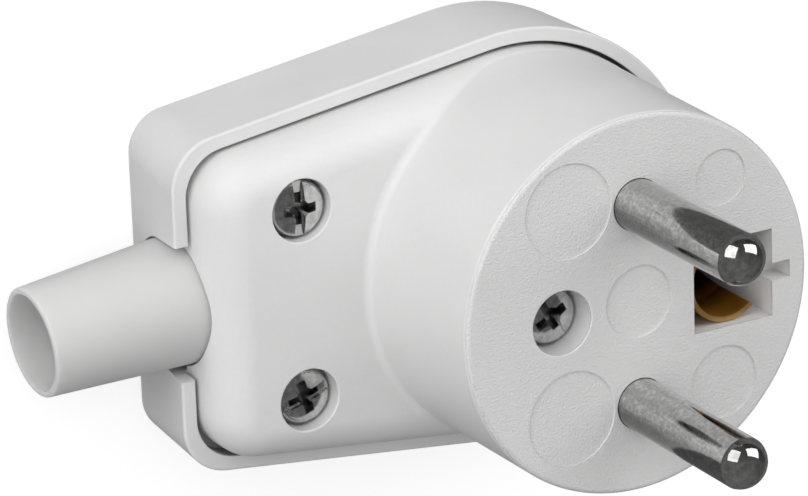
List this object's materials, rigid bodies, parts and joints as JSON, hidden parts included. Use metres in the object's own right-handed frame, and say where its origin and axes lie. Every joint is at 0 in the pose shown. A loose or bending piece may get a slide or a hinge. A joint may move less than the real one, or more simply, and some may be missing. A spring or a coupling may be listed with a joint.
{
  "type": "angled mains plug",
  "caption": "Rewirable angled mains plug: round boss with straight round pins and an earth socket, screwed housing halves and a cable sleeve at a right angle to the pins.",
  "frame": {"origin": "on the flat back face, on the line midway between the two pins", "axes": "+Z along the pins, away from the back face; the cable leaves towards -X; the pins stand in a row along Y"},
  "size_m": [0.0683, 0.04, 0.0507],
  "materials": {
    "housing_plastic": "satin moulded, grained on the face",
    "sleeve_plastic": "soft matte",
    "nickel_pin": "nickel plated, drawn and polished at the tip",
    "contact_brass": "bare strip, a little tarnished",
    "clamp_plastic": "satin moulded",
    "plated_steel": "zinc plated"
  },
  "bodies": {
    "root": {"front_housing": "housing_plastic", "rear_cover": "housing_plastic", "cable_sleeve": "sleeve_plastic", "live_pin": "nickel_pin", "neutral_pin": "nickel_pin", "earth_contact": "contact_brass", "cable_clamp": "clamp_plastic", "upper_body_screw": "plated_steel", "lower_body_screw": "plated_steel", "face_screw": "plated_steel", "live_terminal_screw": "plated_steel", "neutral_terminal_screw": "plated_steel", "earth_terminal_screw": "plated_steel", "upper_clamp_screw": "plated_steel", "lower_clamp_screw": "plated_steel", "upper_body_nut": "plated_steel", "lower_body_nut": "plated_steel", "face_nut": "plated_steel", "earth_clamp_washer": "plated_steel", "earth_grip_spring": "plated_steel"}
  },
  "joints": []
}
